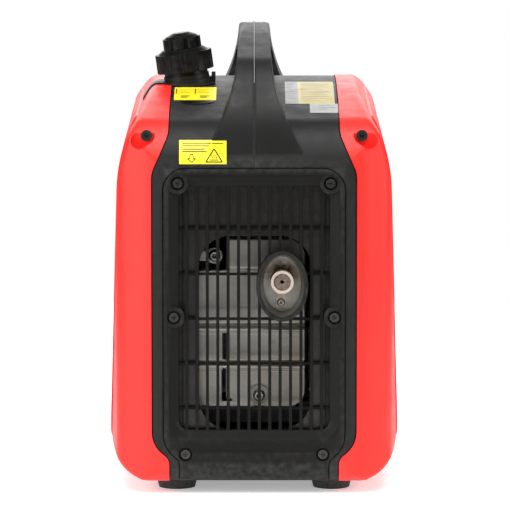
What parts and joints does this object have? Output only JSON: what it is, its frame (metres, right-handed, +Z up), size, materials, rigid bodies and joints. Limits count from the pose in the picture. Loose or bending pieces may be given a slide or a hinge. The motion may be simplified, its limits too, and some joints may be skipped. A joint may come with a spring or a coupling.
{
  "type": "portable generator",
  "caption": "Suitcase-style inverter generator with a carry handle over a fuel cap, red side covers, a slotted exhaust grille and a panel with hinged socket lids.",
  "frame": {"origin": "on the ground, midway between the four feet", "axes": "+Z up, -Y the exhaust end with the slotted grille, +Y the control panel end, +X the starter grip side"},
  "size_m": [0.2848, 0.5, 0.4446],
  "materials": {
    "black_plastic": "moulded, fine grain",
    "black_gloss": "smooth moulded",
    "red_plastic": "moulded, satin gloss",
    "grey_plastic": "moulded",
    "rubber": "matt",
    "steel": "pressed sheet, heat tinted",
    "dark_steel": "blackened",
    "plated_steel": "zinc plated",
    "cast_aluminium": "as cast",
    "copper_windings": "varnished copper wire",
    "label": "printed film",
    "foam": "open-cell foam",
    "rope": "braided cord",
    "white_plastic": "translucent moulding",
    "lamp_lens": "clear tinted",
    "ceramic_white": "glazed"
  },
  "bodies": {
    "housing": {"base_tray": "black_plastic", "frame_shell_left": "black_plastic", "frame_shell_right": "black_plastic", "side_cover_left": "red_plastic", "side_cover_right": "red_plastic", "cover_screws": "dark_steel", "rubber_feet": "rubber", "rear_grille": "black_plastic", "rear_grille_screws": "dark_steel", "rear_baffle": "dark_steel", "exhaust_dish": "steel", "muffler": "steel", "muffler_shield": "steel", "spark_arrester": "steel", "exhaust_screws": "plated_steel", "fuel_tank": "white_plastic", "filler_drip_tray": "black_plastic", "labels": "label", "crankcase": "cast_aluminium", "cylinder_head": "cast_aluminium", "rocker_cover": "dark_steel", "spark_plug": "ceramic_white", "ignition_lead": "rubber", "ignition_coil": "black_gloss", "crank_throw": "dark_steel", "main_bearings": "dark_steel", "piston": "cast_aluminium", "connecting_rod": "dark_steel", "alternator_stator": "copper_windings", "fan_shroud": "black_plastic", "recoil_housing": "black_plastic", "starter_rope": "rope", "rope_guide": "plated_steel", "engine_mounts": "rubber", "carburettor": "cast_aluminium", "fuel_hose": "rubber", "air_cleaner_case": "black_plastic", "air_filter": "foam", "inverter_unit": "cast_aluminium", "control_panel": "black_plastic", "ac_sockets": "grey_plastic", "dc_usb_module": "grey_plastic", "indicator_lamps": "lamp_lens", "ground_terminal": "plated_steel"},
    "crank_train": {"crankshaft": "dark_steel", "alternator_rotor": "dark_steel", "cooling_fan": "grey_plastic"},
    "reel": {"recoil_pulley": "grey_plastic"},
    "grip": {"recoil_grip": "grey_plastic"},
    "cap_core": {"fuel_cap_core": "black_gloss"},
    "cap": {"fuel_cap": "black_gloss"},
    "vent_knob": {"fuel_vent_knob": "black_gloss"},
    "dial": {"engine_dial": "black_gloss"},
    "eco": {"eco_rocker": "black_gloss"},
    "breaker": {"breaker_button": "lamp_lens"},
    "lid_left": {"socket_lid_left": "grey_plastic"},
    "lid_right": {"socket_lid_right": "grey_plastic"},
    "door": {"maintenance_door": "red_plastic"},
    "latch": {"door_latch_knob": "black_gloss"},
    "oil_cap": {"oil_filler_cap": "black_gloss"}
  },
  "joints": [
    {"name": "crank_spin", "type": "hinge", "parent": "housing", "child": "crank_train", "pos_m": [0, -0.063, 0.15], "axis": [0, 1, 0], "continuous": true},
    {"name": "grip_pull", "type": "slide", "parent": "housing", "child": "grip", "axis": [1, 0, 0], "range_m": [0, 0.5], "stiffness_N_per_m": 25, "deforming": ["starter_rope"]},
    {"name": "reel_spin", "type": "hinge", "parent": "housing", "child": "reel", "pos_m": [0, 0.098, 0.15], "axis": [0, 1, 0], "range_deg": [0, 750]},
    {"name": "cap_lift", "type": "slide", "parent": "housing", "child": "cap_core", "axis": [-0.1392, 0, 0.9903], "range_m": [0, 0.06]},
    {"name": "cap_turn", "type": "hinge", "parent": "cap_core", "child": "cap", "pos_m": [-0.067, -0.034, 0.382], "axis": [-0.1392, 0, 0.9903], "range_deg": [0, 270]},
    {"name": "vent_turn", "type": "hinge", "parent": "cap", "child": "vent_knob", "pos_m": [-0.067, -0.034, 0.382], "axis": [-0.1392, 0, 0.9903], "range_deg": [0, 90]},
    {"name": "dial_turn", "type": "hinge", "parent": "housing", "child": "dial", "pos_m": [0.05, 0.239, 0.275], "axis": [0, -1, 0], "range_deg": [0, 90]},
    {"name": "eco_tilt", "type": "hinge", "parent": "housing", "child": "eco", "pos_m": [0.05, 0.232, 0.231], "axis": [1, 0, 0], "range_deg": [0, 18]},
    {"name": "breaker_push", "type": "slide", "parent": "housing", "child": "breaker", "axis": [0, -1, 0], "range_m": [0, 0.002], "stiffness_N_per_m": 400},
    {"name": "lid_left_open", "type": "hinge", "parent": "housing", "child": "lid_left", "pos_m": [-0.038, 0.244, 0.214], "axis": [1, 0, 0], "range_deg": [0, 115], "stiffness_Nm_per_rad": 0.02, "springref_deg": -11.46},
    {"name": "lid_right_open", "type": "hinge", "parent": "housing", "child": "lid_right", "pos_m": [0.038, 0.244, 0.214], "axis": [1, 0, 0], "range_deg": [0, 115], "stiffness_Nm_per_rad": 0.02, "springref_deg": -11.46},
    {"name": "door_lift", "type": "slide", "parent": "housing", "child": "door", "axis": [-1, 0, 0], "range_m": [0, 0.12]},
    {"name": "latch_turn", "type": "hinge", "parent": "door", "child": "latch", "pos_m": [-0.1287, 0.039, 0.268], "axis": [-1, 0, 0], "range_deg": [0, 90]},
    {"name": "oil_cap_turn", "type": "hinge", "parent": "housing", "child": "oil_cap", "pos_m": [-0.064, -0.065, 0.086], "axis": [-1, 0, 0], "range_deg": [0, 720]}
  ],
  "couplings": [
    {"joint": "reel_spin", "follows": "grip_pull", "rad_per_m": 26.11}
  ]
}
